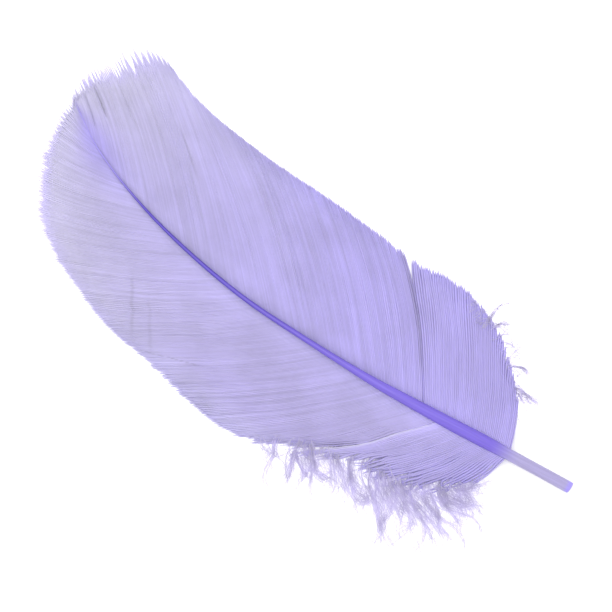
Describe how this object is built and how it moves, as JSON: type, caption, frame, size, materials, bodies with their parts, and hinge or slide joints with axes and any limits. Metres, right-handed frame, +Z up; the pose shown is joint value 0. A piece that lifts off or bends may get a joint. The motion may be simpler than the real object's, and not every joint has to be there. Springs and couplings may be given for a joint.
{
  "type": "feather",
  "caption": "Dyed body feather lying on its hollow side, with a cut hollow quill, a curved tapering shaft, two split vanes and loose down at the foot.",
  "frame": {"origin": "middle of the feather's bounding box, on the surface it lies on", "axes": "+Y from the quill's cut end to the tip, +Z up out of the feather's arched outer side, +X to the right vane as seen from above with the tip away"},
  "size_m": [0.038, 0.086, 0.0063],
  "materials": {
    "vane": "matt, thin enough to let light through",
    "down": "soft loose fluff",
    "quill": "satin horn, paler and clearer at the cut end"
  },
  "bodies": {
    "root": {"feather": "vane"}
  },
  "joints": []
}
